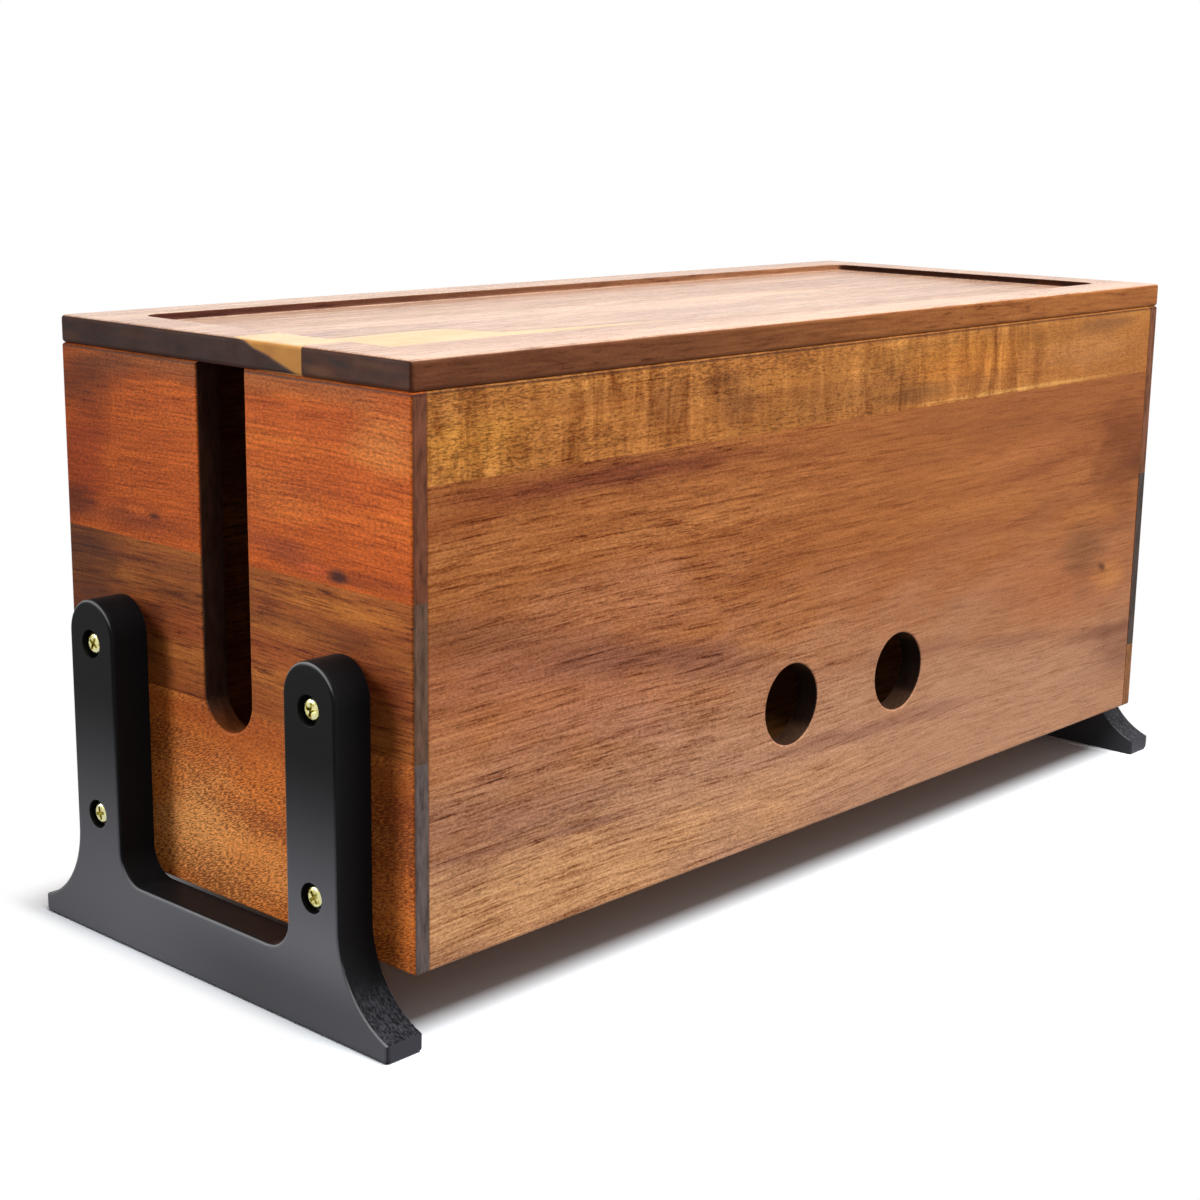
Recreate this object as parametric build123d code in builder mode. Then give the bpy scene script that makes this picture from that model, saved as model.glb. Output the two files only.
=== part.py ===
from build123d import *
import os
from math import sqrt

# Cable management box: an open-topped box of glued-up boards on two stand frames,
# with a lift-off lid. All sizes are in millimetres. +X runs along the box, the
# long side with the cable holes faces -Y, and +Z is up. The origin is on the
# floor, under the middle of the box.

# Box
box_length = 460.0
box_width = 187.0
box_height = 189.0
floor_gap = 25.0  # from the floor to the underside of the walls
side_thickness = 10.0  # front and back walls
end_thickness = 10.0  # left and right walls
tongue = 6.0  # end grain that covers the ends of the front and back walls
edge_round = 1.2  # outer edges of the box

# Glue lines of the long walls, above the underside of the walls
front_glue_line = 159.5
back_lower_glue_line = 58.0
back_upper_glue_line = 127.0

# Round cable holes in the front wall
hole_diameter = 32.0
hole_spacing = 70.5
hole_height = 52.5  # above the underside of the walls
hole_round = 0.8

# Cable slot in each end wall, open at the top
slot_width = 25.5
slot_offset = 1.2  # towards the back
slot_depth = 127.0
slot_round = 1.0

# Glue lines of the end walls, above the bottom of the slot
left_lower_glue_line = 9.0
left_upper_glue_line = 61.0
right_lower_glue_line = -32.0
right_upper_glue_line = 50.0

# Bottom panel in its grooves
bottom_thickness = 8.0
bottom_rise = 6.0  # above the underside of the walls
bottom_board_width = 58.0  # the board in the middle
groove_depth = 4.0
groove_play = 0.5  # around the edge of the panel
groove_slack = 0.2  # over the panel

# Lid with its tray
lid_thickness = 10.0
lid_round = 1.5
lid_front_glue_line = 52.0  # from the front edge of the lid
lid_back_glue_line = 119.0
tray_rim = 20.0
tray_depth = 3.0
tray_corner = 8.0
tray_cove = 1.2
tray_lip = 0.5

# Rails under the lid, which keep it in place on the box
rail_width = 10.0
rail_height = 8.0
rail_play = 1.0  # to the walls of the box
rail_chamfer = 1.2

# Stand frames
stand_thickness = 15.0
upright_width = 26.0
upright_spacing = 120.0
upright_height = 126.5
crossbar_height = 24.5
inner_corner = 11.0
toe_reach = 96.5
toe_height = 6.7
toe_round = 1.8
flare_radius = 34.0
stand_round = 1.4  # around the outer face
stand_back_round = 0.4  # around the face at the wall

# Pan-head screws of the stand frames
screw_height = 47.0  # of the lower pair above the floor
screw_rise = 63.5  # from the lower pair to the upper pair
screw_turns = [15.0, 62.0, 38.0, 80.0]  # how far each one was driven round, in degrees
screw_diameter = 4.0
screw_length = 19.5  # under the head
screw_tip = 4.0
head_diameter = 8.0
head_height = 2.5
head_dome = 1.5
cross_length = 4.8
cross_width = 1.2
cross_depth = 1.5
head_sink = 1.0  # below the face of the stand
counterbore_diameter = 10.5

# Countersunk screws of the rails
rail_screw_count = 4
rail_screw_margin = 34.0  # from each end of the rail
rail_screw_diameter = 3.0
rail_screw_length = 14.0
rail_screw_tip = 2.5
rail_head_diameter = 6.0
rail_cross_length = 3.4
rail_cross_width = 0.8
rail_cross_depth = 1.0

# Room around and beyond the screws in their holes
shank_clearance = 0.1
tip_clearance = 0.5
point_radius = 0.3

# Places that follow from the sizes above
half_length = box_length / 2
half_width = box_width / 2
side_length = box_length - 2 * tongue
inner_length = box_length - 2 * end_thickness
inner_width = box_width - 2 * side_thickness
box_top = floor_gap + box_height
lid_top = box_top + lid_thickness
groove_bottom = floor_gap + bottom_rise
groove_height = bottom_thickness + groove_slack
counterbore_depth = head_height + head_sink
up = Vector(0, 0, 1)
backwards = Vector(0, 1, 0)
centred_above = (Align.CENTER, Align.CENTER, Align.MIN)
centred_below = (Align.CENTER, Align.CENTER, Align.MAX)

os.makedirs("parts", exist_ok=True)


def write(part, name):
    """Label a finished piece and write it to its own file."""
    part.label = name
    export_step(part, f"parts/{name}.step")


def boards(panel, direction, glue_lines):
    """Take a glued-up panel apart at its glue lines, in order along the direction."""
    planes = [Plane(origin=direction * line, z_dir=direction) for line in glue_lines]
    pieces = []
    for index in range(len(planes) + 1):
        with BuildPart() as board:
            add(panel)
            if index > 0:
                split(bisect_by=planes[index - 1], keep=Keep.TOP)
            if index < len(planes):
                split(bisect_by=planes[index], keep=Keep.BOTTOM)
        pieces.append(board.part)
    return pieces


# ---- Walls ----

# The outside of the four walls together, with its eased edges
with BuildPart(Plane.XY.offset(floor_gap)) as wall_form:
    Box(box_length, box_width, box_height, align=centred_above)
    fillet(wall_form.edges(), edge_round)

# A long wall in the front place, with its groove for the bottom panel
front_face = Plane.XZ.offset(half_width)
with BuildPart() as long_wall:
    with BuildSketch(front_face):
        with Locations((0, floor_gap)):
            Rectangle(side_length, box_height, align=(Align.CENTER, Align.MIN))
    extrude(amount=-side_thickness)
    with BuildSketch(Plane.XZ.offset(inner_width / 2)):
        with Locations((0, groove_bottom)):
            Rectangle(side_length, groove_height, align=(Align.CENTER, Align.MIN))
    extrude(amount=groove_depth, mode=Mode.SUBTRACT)
    add(wall_form.part, mode=Mode.INTERSECT)

# Front wall, with the two cable holes
with BuildPart() as front_wall:
    add(long_wall.part)
    with BuildSketch(front_face):
        with Locations((0, floor_gap + hole_height)):
            with GridLocations(hole_spacing, 0, 2, 1):
                Circle(hole_diameter / 2)
    extrude(amount=-side_thickness, mode=Mode.SUBTRACT)
    fillet(front_wall.edges().filter_by(GeomType.CIRCLE), hole_round)

front_lower, front_upper = boards(front_wall.part, up, [floor_gap + front_glue_line])
write(front_lower, "front_lower_stave")
write(front_upper, "front_upper_stave")

# Back wall, without holes
with BuildPart() as back_wall:
    mirror(long_wall.part, about=Plane.XZ)

back_glue_lines = [floor_gap + back_lower_glue_line, floor_gap + back_upper_glue_line]
back_lower, back_middle, back_upper = boards(back_wall.part, up, back_glue_lines)
write(back_lower, "back_lower_stave")
write(back_middle, "back_middle_stave")
write(back_upper, "back_upper_stave")

# End wall in the left place: slot, corner rabbets, groove and pilot holes
slot_bottom = box_top - slot_depth
slot_centre = slot_bottom + slot_width / 2
screw_middle = screw_height + screw_rise / 2
pilot_depth = screw_length + counterbore_depth - stand_thickness + tip_clearance
left_seam = Plane(origin=(-half_length, 0, screw_middle), x_dir=(0, -1, 0), z_dir=(-1, 0, 0))
with BuildPart() as left_wall:
    with BuildSketch(Plane.YZ.offset(-half_length)):
        with Locations((0, floor_gap)):
            Rectangle(box_width, box_height, align=(Align.CENTER, Align.MIN))
        with Locations((slot_offset, slot_centre)):
            Circle(slot_width / 2, mode=Mode.SUBTRACT)
            Rectangle(slot_width, slot_depth, align=(Align.CENTER, Align.MIN), mode=Mode.SUBTRACT)
    extrude(amount=end_thickness)
    slot_edges = left_wall.edges().filter_by(Axis.X, reverse=True).filter_by(
        lambda edge: abs(edge.center().Y - slot_offset) < slot_width and edge.center().Z > slot_bottom
    )
    fillet(slot_edges, slot_round)
    with BuildSketch(Plane.YZ.offset(-inner_length / 2)):
        with Locations((0, floor_gap + box_height / 2)):
            with GridLocations(inner_width + side_thickness, 0, 2, 1):
                Rectangle(side_thickness, box_height)
    extrude(amount=-(end_thickness - tongue), mode=Mode.SUBTRACT)
    with BuildSketch(Plane.YZ.offset(-inner_length / 2)):
        with Locations((0, groove_bottom)):
            Rectangle(inner_width, groove_height, align=(Align.CENTER, Align.MIN))
    extrude(amount=-groove_depth, mode=Mode.SUBTRACT)
    with Locations(left_seam):
        with GridLocations(upright_spacing, screw_rise, 2, 2):
            Hole(screw_diameter / 2 + shank_clearance, depth=pilot_depth)
    add(wall_form.part, mode=Mode.INTERSECT)

with BuildPart() as right_wall:
    mirror(left_wall.part, about=Plane.YZ)

left_glue_lines = [slot_bottom + left_lower_glue_line, slot_bottom + left_upper_glue_line]
right_glue_lines = [slot_bottom + right_lower_glue_line, slot_bottom + right_upper_glue_line]
for side, wall, glue_lines in [
    ("left", left_wall.part, left_glue_lines),
    ("right", right_wall.part, right_glue_lines),
]:
    for place, board in zip(["lower", "middle", "upper"], boards(wall, up, glue_lines)):
        pieces = board.solids().sort_by(Axis.Y)
        if len(pieces) == 1:
            write(pieces[0], f"{side}_end_{place}_stave")
        else:  # the slot cuts this board in two
            write(pieces[0], f"{side}_end_{place}_front_stave")
            write(pieces[-1], f"{side}_end_{place}_back_stave")

# Bottom panel, loose in its grooves
with BuildPart(Plane.XY.offset(groove_bottom)) as bottom_panel:
    Box(
        inner_length + 2 * (groove_depth - groove_play),
        inner_width + 2 * (groove_depth - groove_play),
        bottom_thickness,
        align=centred_above,
    )

bottom_glue_lines = [-bottom_board_width / 2, bottom_board_width / 2]
bottom_front, bottom_middle, bottom_back = boards(bottom_panel.part, backwards, bottom_glue_lines)
write(bottom_front, "bottom_front_stave")
write(bottom_middle, "bottom_middle_stave")
write(bottom_back, "bottom_back_stave")

# ---- Lid ----

rail_length = inner_length - 2 * rail_play
rail_middle = inner_width / 2 - rail_play - rail_width / 2
rail_screw_pitch = (rail_length - 2 * rail_screw_margin) / (rail_screw_count - 1)
rail_pilot_depth = rail_screw_length - rail_height + tip_clearance

# The whole lid: a board with eased edges, the tray in its top and pilot holes below
with BuildPart(Plane.XY.offset(box_top)) as lid:
    Box(box_length, box_width, lid_thickness, align=centred_above)
    fillet(lid.edges(), lid_round)
    with BuildSketch(Plane.XY.offset(lid_top)):
        RectangleRounded(box_length - 2 * tray_rim, box_width - 2 * tray_rim, tray_corner)
    extrude(amount=-tray_depth, mode=Mode.SUBTRACT)
    tray_floor = lid.faces().filter_by_position(Axis.Z, lid_top - tray_depth, lid_top - tray_depth)
    fillet(tray_floor.edges(), tray_cove)
    rim = lid.faces().sort_by(Axis.Z)[-1]
    fillet(rim.inner_wires()[0].edges(), tray_lip)
    with Locations(Plane.XY.rotated((180, 0, 0))):
        with GridLocations(rail_screw_pitch, 2 * rail_middle, rail_screw_count, 2):
            Hole(rail_screw_diameter / 2 + shank_clearance, depth=rail_pilot_depth)

lid_glue_lines = [lid_front_glue_line - half_width, lid_back_glue_line - half_width]
lid_front, lid_middle, lid_back = boards(lid.part, backwards, lid_glue_lines)
write(lid_front, "lid_front_stave")
write(lid_middle, "lid_middle_stave")
write(lid_back, "lid_back_stave")

# A rail under the front edge of the lid, with its countersunk holes
with BuildPart(Plane((0, -rail_middle, box_top - rail_height))) as front_rail:
    Box(rail_length, rail_width, rail_height, align=centred_above)
    chamfer(front_rail.faces().sort_by(Axis.Z)[0].edges(), rail_chamfer)
    with Locations(Plane.XY.rotated((180, 0, 0))):
        with GridLocations(rail_screw_pitch, 0, rail_screw_count, 1):
            CounterSinkHole(
                rail_screw_diameter / 2 + shank_clearance,
                rail_head_diameter / 2 + shank_clearance,
                counter_sink_angle=90,
            )

with BuildPart() as back_rail:
    mirror(front_rail.part, about=Plane.XZ)

write(front_rail.part, "lid_front_rail")
write(back_rail.part, "lid_back_rail")

# A countersunk screw with its head up, the top of the head at the origin
rail_head_height = (rail_head_diameter - rail_screw_diameter) / 2
with BuildPart() as rail_screw:
    Cone(rail_screw_diameter / 2, rail_head_diameter / 2, rail_head_height, align=centred_below)
    Cylinder(rail_screw_diameter / 2, rail_screw_length - rail_screw_tip, align=centred_below)
    with Locations((0, 0, rail_screw_tip - rail_screw_length)):
        Cone(point_radius, rail_screw_diameter / 2, rail_screw_tip, align=centred_below)
    with BuildSketch():
        Rectangle(rail_cross_length, rail_cross_width)
        Rectangle(rail_cross_width, rail_cross_length)
    extrude(amount=-rail_cross_depth, mode=Mode.SUBTRACT)

with BuildPart(Plane((0, -rail_middle, box_top - rail_height))) as front_rail_screws:
    with Locations(Plane.XY.rotated((180, 0, 0))):
        with GridLocations(rail_screw_pitch, 0, rail_screw_count, 1):
            add(rail_screw.part)

with BuildPart() as back_rail_screws:
    mirror(front_rail_screws.part, about=Plane.XZ)

write(front_rail_screws.part, "front_rail_screws")
write(back_rail_screws.part, "back_rail_screws")

# ---- Stand frames ----

upright_outside = (upright_spacing + upright_width) / 2
upright_inside = (upright_spacing - upright_width) / 2
arch_height = upright_height - upright_width / 2
flare_height = toe_height + sqrt(
    flare_radius**2 - (upright_outside + flare_radius - toe_reach) ** 2
)

# The stand at the left end, from its profile: two arched uprights on flared toes
with BuildPart() as left_stand:
    with BuildSketch(Plane.YZ.offset(-half_length - stand_thickness)):
        with BuildLine():
            TangentArc((toe_reach - toe_round, 0), (toe_reach, toe_round), tangent=(1, 0))
            Line((toe_reach, toe_round), (toe_reach, toe_height))
            TangentArc((upright_outside, flare_height), (toe_reach, toe_height), tangent=(0, -1))
            Line((upright_outside, flare_height), (upright_outside, arch_height))
            TangentArc((upright_outside, arch_height), (upright_inside, arch_height), tangent=(0, 1))
            Line((upright_inside, arch_height), (upright_inside, crossbar_height + inner_corner))
            TangentArc(
                (upright_inside, crossbar_height + inner_corner),
                (upright_inside - inner_corner, crossbar_height),
                tangent=(0, -1),
            )
            mirror(about=Plane.YZ)
            Line((toe_round - toe_reach, 0), (toe_reach - toe_round, 0))
            Line(
                (inner_corner - upright_inside, crossbar_height),
                (upright_inside - inner_corner, crossbar_height),
            )
        make_face()
    extrude(amount=stand_thickness)
    fillet(left_stand.faces().sort_by(Axis.X)[0].edges(), stand_round)
    fillet(left_stand.faces().sort_by(Axis.X)[-1].edges(), stand_back_round)
    with Locations(left_seam.offset(stand_thickness)):
        with GridLocations(upright_spacing, screw_rise, 2, 2):
            CounterBoreHole(
                screw_diameter / 2 + shank_clearance,
                counterbore_diameter / 2,
                counterbore_depth,
            )

with BuildPart() as right_stand:
    mirror(left_stand.part, about=Plane.YZ)

write(left_stand.part, "left_stand")
write(right_stand.part, "right_stand")

# A pan-head screw with its head up, the underside of the head at the origin
with BuildPart() as stand_screw:
    Cylinder(head_diameter / 2, head_height, align=centred_above)
    fillet(stand_screw.edges().sort_by(Axis.Z)[-1], head_dome)
    with BuildSketch(Plane.XY.offset(head_height)):
        Rectangle(cross_length, cross_width)
        Rectangle(cross_width, cross_length)
    extrude(amount=-cross_depth, mode=Mode.SUBTRACT)
    Cylinder(screw_diameter / 2, screw_length - screw_tip, align=centred_below)
    with Locations((0, 0, screw_tip - screw_length)):
        Cone(point_radius, screw_diameter / 2, screw_tip, align=centred_below)

with BuildPart() as left_stand_screws:
    with Locations(left_seam.offset(stand_thickness - counterbore_depth)):
        spots = GridLocations(upright_spacing, screw_rise, 2, 2)
    for spot, turn in zip(spots, screw_turns):
        with Locations(spot * Rotation(0, 0, turn)):
            add(stand_screw.part)

with BuildPart() as right_stand_screws:
    mirror(left_stand_screws.part, about=Plane.YZ)

write(left_stand_screws.part, "left_stand_screws")
write(right_stand_screws.part, "right_stand_screws")
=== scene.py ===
from math import radians

import bpy
from mathutils import Matrix, Vector


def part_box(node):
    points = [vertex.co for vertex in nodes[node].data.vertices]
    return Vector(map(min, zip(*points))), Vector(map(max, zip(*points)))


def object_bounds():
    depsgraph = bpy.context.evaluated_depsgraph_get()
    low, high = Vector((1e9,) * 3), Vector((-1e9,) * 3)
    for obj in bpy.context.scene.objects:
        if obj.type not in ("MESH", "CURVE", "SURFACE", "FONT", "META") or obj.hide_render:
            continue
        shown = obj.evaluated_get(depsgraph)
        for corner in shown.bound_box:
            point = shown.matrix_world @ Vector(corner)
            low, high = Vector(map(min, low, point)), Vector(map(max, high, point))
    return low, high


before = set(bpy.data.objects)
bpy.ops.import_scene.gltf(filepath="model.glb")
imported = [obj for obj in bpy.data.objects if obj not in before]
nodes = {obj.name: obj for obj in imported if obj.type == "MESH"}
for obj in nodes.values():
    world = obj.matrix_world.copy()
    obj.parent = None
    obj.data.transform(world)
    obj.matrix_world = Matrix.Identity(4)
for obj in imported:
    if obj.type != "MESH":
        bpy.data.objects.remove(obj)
cad_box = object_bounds()

# Lengths are in metres and angles in degrees, unless a comment says otherwise. A pair that is
# used with Tree.band says where an effect begins and where it is full.

# ---- Camera: the photograph's viewpoint ----

CAMERA_PLACE = (-0.6620, -0.5685, 0.2990)
CAMERA_AZIMUTH = -47.443
CAMERA_ELEVATION = 13.055
CAMERA_ROLL = -0.80
CAMERA_LENS = 63.734  # mm
SENSOR = 36.0  # mm
CLIP_START = 0.01

# ---- Light ----

WHITE = (1.0, 1.0, 1.0, 1.0)
AMBIENT = 0.20  # what the surroundings give to matt surfaces
FLOOR_SIZE = 30.0
FLOOR_BOUNCE = (0.22, 0.22, 0.22, 1.0)  # the floor as matt surfaces see it
FLOOR_SEEN = (1.50, 1.55, 1.60, 1.0)  # overexposed paper, as the camera and reflections see it
FLOOR_FADE = (0.0, 0.03)  # away from the footprint, where the floor fades to plain white
FADE_ASIDE = 3.0  # how much sooner it fades beside the stands

# Power is in watts
KEY_LAMP = dict(place=(0.0, -0.40, 1.18), target=(0.0, 0.0, 0.10), size=0.90, power=19.0)
FRONT_LAMP = dict(place=(0.25, -1.20, 0.55), target=(0.0, -0.09, 0.10), size=0.60, power=6.0)
BACK_LAMP = dict(place=(0.80, 1.10, 0.60), target=(0.10, 0.09, 0.10), size=0.60, power=16.0)
LEFT_LAMP = dict(
    place=(-0.80, 0.45, 0.32), target=(-0.23, -0.30, 0.06), radius=0.20, cone=43.0, power=46.0
)


def srgb(red, green, blue):
    """A colour given in 8-bit display values, as the linear values that shaders take."""
    linear = [
        (value / 255 / 12.92) if value <= 10 else ((value / 255 + 0.055) / 1.055) ** 2.4
        for value in (red, green, blue)
    ]
    return (*linear, 1.0)


def metres(millimetres):
    """Lengths given in mm, as metres."""
    return tuple(value / 1000 for value in millimetres)


class Tree:
    """Builds a node tree. Most methods add a node and return its output socket."""

    def __init__(self, owner):
        owner.use_nodes = True
        self.tree = owner.node_tree
        self.tree.nodes.clear()

    def add(self, kind, inputs=None, **settings):
        """Add a node with its settings, and set or link its inputs, given by name or number."""
        node = self.tree.nodes.new(kind)
        for name, value in settings.items():
            setattr(node, name, value)
        for name, value in (inputs or {}).items():
            if isinstance(value, bpy.types.NodeSocket):
                self.tree.links.new(value, node.inputs[name])
            else:
                node.inputs[name].default_value = value
        return node

    def math(self, operation, *values):
        inputs = dict(enumerate(values))
        return self.add("ShaderNodeMath", inputs, operation=operation).outputs[0]

    def product(self, first, *others):
        """The product of two or more numbers. For colours there is multiply_colour."""
        for value in others:
            first = self.math("MULTIPLY", first, value)
        return first

    def scale_add(self, value, factor, addend):
        return self.math("MULTIPLY_ADD", value, factor, addend)

    def absolute(self, value):
        return self.math("ABSOLUTE", value)

    def combine(self, x, y, z):
        return self.add("ShaderNodeCombineXYZ", {0: x, 1: y, 2: z}).outputs[0]

    def separate(self, vector):
        return list(self.add("ShaderNodeSeparateXYZ", {0: vector}).outputs)

    def length(self, vector):
        return self.add("ShaderNodeVectorMath", {0: vector}, operation="LENGTH").outputs["Value"]

    def noise(self, place, scales, detail=2.0, roughness=0.5, distortion=0.0):
        """Noise around 0 that is stretched: the scales are features per metre on each axis."""
        scaled = self.add(
            "ShaderNodeVectorMath", {0: place, 1: Vector(scales)}, operation="MULTIPLY"
        ).outputs[0]
        inputs = {
            "Vector": scaled,
            "Scale": 1.0,
            "Detail": detail,
            "Roughness": roughness,
            "Distortion": distortion,
        }
        factor = self.add("ShaderNodeTexNoise", inputs).outputs["Fac"]
        return self.math("SUBTRACT", factor, 0.5)

    def band(self, value, none, full):
        """0 where the value is at none, 1 where it is at full, and a smooth step between them."""
        inputs = {"Value": value, "From Min": none, "From Max": full}
        return self.add("ShaderNodeMapRange", inputs, interpolation_type="SMOOTHSTEP").outputs[0]

    def ramp(self, factor, stops):
        """A colour for each factor, from (position, colour) stops."""
        node = self.add("ShaderNodeValToRGB", {0: factor})
        elements = node.color_ramp.elements
        while len(elements) < len(stops):
            elements.new(0.5)
        for element, (position, colour) in zip(elements, stops):
            element.position = position
            element.color = colour
        return node.outputs[0]

    def mix(self, factor, first, second, blend="MIX"):
        inputs = {0: factor, 6: first, 7: second}
        return self.add("ShaderNodeMix", inputs, data_type="RGBA", blend_type=blend).outputs[2]

    def multiply_colour(self, colour, factor):
        """The colour times a number, or times another colour."""
        return self.mix(1.0, colour, factor, "MULTIPLY")

    def bump(self, height, strength, distance, **others):
        inputs = {"Height": height, "Strength": strength, "Distance": distance, **others}
        return self.add("ShaderNodeBump", inputs).outputs[0]

    def finish(self, inputs):
        """End the tree in a Principled shader with these inputs."""
        shader = self.add("ShaderNodeBsdfPrincipled", inputs)
        self.add("ShaderNodeOutputMaterial", {"Surface": shader.outputs[0]})


# ---- Wood ----

# How a board lies, which says which of its axes runs along, through and across its grain
LONG_WALL = "long wall"
END_WALL = "end wall"
FLAT_BOARD = "flat board"

WALL_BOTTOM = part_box("front_lower_stave")[0].z
WALL_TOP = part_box("front_upper_stave")[1].z
WALL_HALF = {  # half of a wall's own length
    LONG_WALL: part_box("front_lower_stave")[1].x,
    END_WALL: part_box("left_end_lower_stave")[1].y,
}
LID_LEFT, LID_RIGHT = (corner.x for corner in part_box("lid_front_stave"))

SEED_STEPS = (1.37, 0.71, 0.93)  # from one board's place in the log to the next one's
SWAY = 0.014  # how far the grain sways to each side

# Noise for each part of the grain: features per metre along, through and across it, and then
# detail, roughness and distortion
LAYERS = {
    "sway": ((4.0, 8.0, 6.0), 2.0),
    "wide": ((2.4, 14.0, 26.0), 3.0, 0.55, 0.2),
    "medium": ((8.0, 80.0, 150.0), 3.0, 0.6, 0.1),
    "fine": ((26.0, 300.0, 620.0), 2.0, 0.6, 0.05),
    "hair": ((44.0, 800.0, 1150.0), 1.0, 0.6),
    "vein": ((12.0, 220.0, 430.0), 2.0, 0.5, 0.1),
    "vein break": ((60.0, 300.0, 500.0), 2.0),
    "line": ((90.0, 700.0, 1300.0), 2.0, 0.6, 0.05),
    "line cluster": ((9.0, 30.0, 46.0), 2.0),
    "grit": ((650.0, 1100.0, 1300.0), 3.0, 0.7),
    "curl": ((140.0, 26.0, 30.0), 4.0, 0.65, 0.5),
    "curl zone": ((9.0, 4.0, 10.0), 1.0),
    "pore drift": ((14.0, 50.0, 70.0), 2.0),
    "wobble": ((26.0, 60.0, 60.0), 3.0, 0.6),
    "ring": ((60.0, 420.0, 110.0), 3.0, 0.65),
}

# The board's tone, from its dark to its light colour
TONE_STOPS = (0.12, 0.50, 0.88)
WIDE_WEIGHT = 0.80
MEDIUM_WEIGHT = 0.45

# What makes the fibres lighter or darker
FINE_WEIGHT = 0.30
HAIR_WEIGHT = 0.60
THREAD_WEIGHT = -0.22
LINE_WEIGHT = -0.28
THREAD_WIDTH = 0.05
THREAD_BREAKS = (-0.18, 0.08)
LINE_START = (0.08, 0.17)
LINE_CLUSTERS = (-0.10, 0.12)
LONE_LINES = 0.15  # how strong the lines are outside their clusters
CURL_ZONES = (-0.20, 0.02)
CALM = 0.45  # the strength of the fibres where a board's figure is calm
FIBRE_LEVEL = 1.03
FIBRE_GAINS = (1.45, 1.80, 2.00)  # how much the fibres change red, green and blue
DARKEST_FIBRE = 0.15

PORE = srgb(58, 30, 22)
PORE_DRIFT = 0.35
PORE_EDGE = 0.09
PORE_NOISE = (2.0, 0.6)  # detail and roughness

END_GRAIN = srgb(70, 42, 34)
END_FACING = (0.60, 0.85)
END_SHADES = ((0.1, 0.55), (0.5, 1.00), (0.9, 1.35))  # where in a ring, and how bright
RING_CONTRAST = 2.2

# The walls of holes and slots, partly as shades of oiled end grain and partly as painted shade, and
# their floors, with painted shade in the holes and painted light in the slot
CUT_WALL = {LONG_WALL: srgb(38, 27, 21), END_WALL: srgb(62, 38, 29)}
CUT_FLOOR = {LONG_WALL: srgb(15, 8, 5), END_WALL: srgb(112, 62, 34)}
CUT_AMOUNT = 0.90
CUT_FROM_END = (0.0020, 0.0040)  # inside the wall's own ends
CUT_FROM_EDGE = (0.0008, 0.0016)  # inside its top and bottom edges
CUT_FACING = (0.65, 0.30)
CUT_FLOOR_FACING = (0.15, 0.75)
CUT_SHADES = (0.90, 0.55)  # how much its rings vary, and its darkest shade

# Painted shadow in the seam between the walls and the lid
SEAM_SHADOW_DEPTH = (0.0017, 0.0007)  # below the walls' top
SEAM_SHADOW_FACING = (0.85, 0.35)
SEAM_SHADOW_AMOUNT = 0.85

# The edges of the lid and the rim of its tray
TOP_FACING = (0.55, 0.85)
EDGE_RUN = (LID_LEFT + 0.01, LID_RIGHT - 0.01)  # from its left to its right edge colour
EDGE_ROUGHNESS = 0.60

WOOD_SHEEN = (0.52, 0.08)  # roughness and specular level
LID_SHEEN = (0.28, 0.12)
ROUGHNESS_SPREAD = 0.25
BUMP_STRENGTH = 0.30
BUMP_DISTANCE = 0.0002
PORE_DEPTH = -0.5
HAIR_HEIGHT = 0.6

SPOT_FADE = (1.0, 0.15)  # from a spot's edge to its middle
SPOT_WOBBLE = 4.0


def in_grain_order(lay, vector):
    """The values of a vector along, through and across the grain."""
    x, y, z = vector
    return {LONG_WALL: (x, y, z), END_WALL: (y, x, z), FLAT_BOARD: (x, z, y)}[lay]


class Board:
    """A board's node tree, with its grain coordinates and the noises that it uses twice."""

    def __init__(self, material, lay, seed):
        self.tree = tree = Tree(material)
        self.lay = lay
        coordinates = tree.add("ShaderNodeTexCoord").outputs
        position = in_grain_order(lay, tree.separate(coordinates["Object"]))
        facing = in_grain_order(lay, tree.separate(coordinates["Normal"]))
        self.along, self.through, self.across = position
        self.faces_along, self.faces_through, self.faces_across = facing

        # Each board has its own place in the log, and its grain sways a little
        self.own = [
            tree.math("ADD", value, seed * step) for value, step in zip(position, SEED_STEPS)
        ]
        u, v, w = self.own
        sway = tree.noise(tree.combine(u, v, w), *LAYERS["sway"])
        self.grain = tree.combine(u, v, tree.scale_add(sway, SWAY, w))
        self.medium = self.layer("medium")
        self.fine = self.layer("fine")
        self.hair = self.layer("hair")
        self.wobble = self.layer("wobble")
        self.ring = tree.scale_add(self.layer("ring"), RING_CONTRAST, 0.5)

    def layer(self, name):
        """The noise of this name, along the board's grain."""
        return self.tree.noise(self.grain, *LAYERS[name])


def spot(place, size, colour, amount, slope=0.0, ragged=0.35):
    """A patch of another colour, such as a knot or a dark streak. Some spots are painted light or
    shade, as their comments say.

    Its place and half sizes are in mm, along and across the grain. The slope tilts it.
    """
    return dict(
        place=place, size=size, colour=srgb(*colour), amount=amount, slope=slope, ragged=ragged
    )


def add_spot(board, along, across, colour, patch):
    """Mix the patch's colour in, fully at its middle and fading to its ragged edge."""
    tree = board.tree
    centre_along, centre_across = metres(patch["place"])
    half_along, half_across = metres(patch["size"])
    slope = patch["slope"]
    offset = (slope * centre_along - centre_across) / half_across
    first = tree.scale_add(along, 1 / half_along, -centre_along / half_along)
    second = tree.scale_add(across, 1 / half_across, offset)
    second = tree.scale_add(along, -slope / half_across, second)
    distance = tree.length(tree.combine(first, second, 0.0))
    distance = tree.scale_add(board.wobble, patch["ragged"] * SPOT_WOBBLE, distance)
    amount = tree.product(tree.band(distance, *SPOT_FADE), patch["amount"])
    return tree.mix(amount, colour, patch["colour"])


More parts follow.
